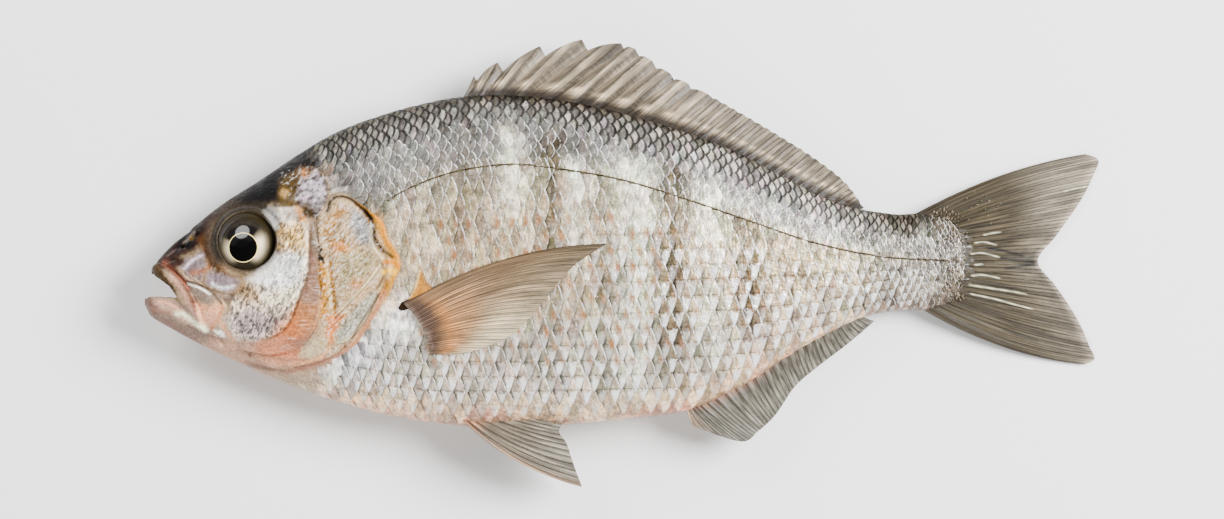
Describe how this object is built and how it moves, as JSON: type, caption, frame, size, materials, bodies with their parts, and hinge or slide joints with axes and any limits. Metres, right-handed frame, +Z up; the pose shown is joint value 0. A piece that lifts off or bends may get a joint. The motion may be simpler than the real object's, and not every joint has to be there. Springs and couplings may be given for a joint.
{
  "type": "whole raw fish",
  "caption": "Whole raw deep-bodied silver fish lying on its right side, with spiny back fin, forked tail, large side fin and slightly open mouth; food for a board, stall or pan.",
  "frame": {"origin": "centre of the fish's outline seen from above, on the surface it lies on", "axes": "+X from the mouth to the tail, +Y from the belly to the back, +Z up, out of the left flank; the fish lies on its right side"},
  "size_m": [0.25, 0.117, 0.0329],
  "materials": {
    "skin": "wet silver scales with a soft sheen",
    "eye": "wet and glossy"
  },
  "bodies": {
    "root": {"fish": "skin", "eye_left": "eye", "eye_right": "eye"}
  },
  "joints": []
}
